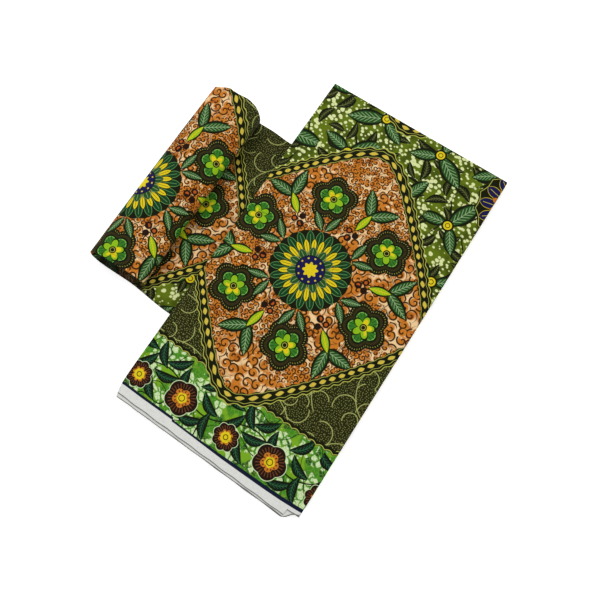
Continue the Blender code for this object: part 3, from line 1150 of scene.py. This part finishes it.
# Painted shade: the cloth is darkened this far into the roll's ends, as a share of its length, and fades
# to its own colours over this one. The tail's very near edge gets painted shade too
SHADE_INTO_ENDS = 0.045
SHADE_FADE = 0.025
TAIL_EDGE_SHADE = 0.75

ROWS_PER_TURN = 46

# The column of the grid that the cloth's way along the tail and the turns is measured on
MEASURED_COLUMN = 20


def roll_height(v_share):
    """The roll is higher at its far end, and sags a little between its ends."""
    sag = ROLL_SLACK * np.sin(math.pi * v_share)
    return mix(ROLL_HEIGHT_NEAR, ROLL_HEIGHT_FAR, ease(v_share)) - sag


def shade_in_roll_ends(v_share):
    """Painted shade: 1 at the roll's two ends, falling to 0 a little way into it."""
    return 1 - ease((np.minimum(v_share, 1 - v_share) - SHADE_INTO_ENDS) / SHADE_FADE)


def peak(u, middle, width):
    """1 at its middle, falling softly to 0 on both sides."""
    return math.exp(-(((u - middle) / width) ** 2))


def tail_row(u, v_share):
    """The tail from its near edge to its far one: flat, with soft swells where nothing lies on it."""
    past = ease((u - ROLL_CENTRE) / ((TAIL_TUCKED_TO - ROLL_CENTRE) / 2))
    near = mix(TAIL_NEAR_AT_ROLL, TAIL_NEAR_AT_STACK, past)
    near = near + ROLL_NEAR_REACH[0] * MM * peak(u, ROLL_CENTRE, 0.025)
    far = mix(TAIL_FAR_AT_ROLL, TAIL_FAR_AT_STACK, past)
    far = far + TAIL_BULGE * peak(u, TAIL_BULGE_AT, 0.020)
    v = mix(near, far, v_share)
    free = ease((u - ROLL_CENTRE - 0.050) / 0.010) * ease((-0.006 - u) / 0.012)
    inner = ease(v_share / 0.05) * ease((1 - v_share) / 0.05)
    rise = TAIL_SWELL * free * (0.6 + 0.4 * np.sin(v * 21 + u * 40)) * inner
    return np.stack([np.full_like(v, u), v, ROLL_WALL / 2 + ABOVE_FLOOR + rise], axis=-1)


def rounded(share):
    """A cosine or a sine made squarer, so that the roll's section is a flattened round."""
    return math.copysign(abs(share) ** (2 / ROLL_SQUARENESS), share)


def roll_row(turned, v_share):
    """The roll from its near end to its far one, so many turns on from the middle of its underside."""
    angle = -math.pi / 2 - FULL_TURN * turned
    flat_u = rounded(math.cos(angle))
    flat_z = rounded(math.sin(angle))
    near = ROLL_NEAR + float(np.interp(turned, ROLL_NEAR_TURNS, ROLL_NEAR_REACH)) * MM
    far = ROLL_FAR + float(np.interp(turned, ROLL_FAR_TURNS, ROLL_FAR_REACH)) * MM
    half_wall = ROLL_WALL / 2
    half_height = roll_height(v_share) / 2
    drawn_in = half_wall + TURN_PITCH * turned
    squeeze = (half_height - half_wall) / (TURNS * TURN_PITCH + 0.0006)
    in_height = half_wall + TURN_PITCH * turned * np.minimum(squeeze, 1.0)
    slack = 0.00015 * ease(turned) * np.sin(v_share * 9 + angle * 2)
    taper = ROLL_TAPER * ease((v_share - TAPER_FROM) / TAPER_LENGTH) * max(-flat_u, 0.0)
    u = ROLL_CENTRE + (ROLL_HALF_WIDTH - drawn_in) * flat_u + taper * (1 - turned / TURNS)
    v = mix(near, far, v_share)
    z = half_height + (half_height - in_height) * flat_z + slack + ABOVE_FLOOR
    return np.stack([np.full_like(v, u), v, z], axis=-1)


def rolled_end_rows(v_share):
    """Rows of the tail and of the roll's turns, and how much painted shade each point gets in the roll's
    ends and along the tail's near edge.
    """
    rows = []
    painted_shades = []
    # painted shade along the tail's very near edge
    shaded_tail_edge = np.where(v_share < 0.005, TAIL_EDGE_SHADE, 0.0)
    for u in np.linspace(TAIL_TUCKED_TO, ROLL_CENTRE, 44)[:-1]:
        # painted shade on the bottom ply where it lies under the roll
        under_roll = ease((ROLL_CENTRE + 0.047 - u) / 0.006)
        rows.append(tail_row(u, v_share))
        painted_shades.append(np.maximum(shade_in_roll_ends(v_share) * under_roll, shaded_tail_edge))
    for step in range(TURNS * ROWS_PER_TURN + 1):
        turned = step / ROWS_PER_TURN
        # painted shade on the turns that the roll hides: its bottom ply and its inner turns
        shaded_turns = max(1 - ease((turned - 0.13) / 0.06), ease((turned - 0.90) / 0.06))
        rows.append(roll_row(turned, v_share))
        painted_shades.append(shade_in_roll_ends(v_share) * shaded_turns)
    return np.stack(rows), np.stack(painted_shades)


def rolled_end(material):
    """The tail from under the stack, and the roll that it ends in, as one long cloth."""
    v_share = stops(0.0, (0.004, 1), (0.012, 1), (0.06, 4), (0.94, 33), (0.988, 4), (0.996, 1), (1.0, 1))
    points, painted_shades = rolled_end_rows(v_share)
    steps = np.linalg.norm(np.diff(points[:, MEASURED_COLUMN], axis=0), axis=-1)
    along = np.concatenate([[0.0], np.cumsum(steps)])
    s = np.broadcast_to((ROLL_PRINT_S + TAIL_TUCKED_TO - along)[:, None], painted_shades.shape)
    cloth = np.stack([s, ROLL_PRINT_W - points[..., 1]], axis=-1)
    bake = grid_map(in_bake(along), in_bake(v_share))
    piece = surface("rolled_end_cloth", points, cloth, bake, ROLL_WALL, material, painted_shades)
    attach(piece, "root")
    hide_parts("tail", "roll_wrap", "roll_core")


make_camera()
make_floor()
make_lights()
print_material = cloth_material()
top_panel(print_material)
folded_stack(print_material)
rolled_end(print_material)
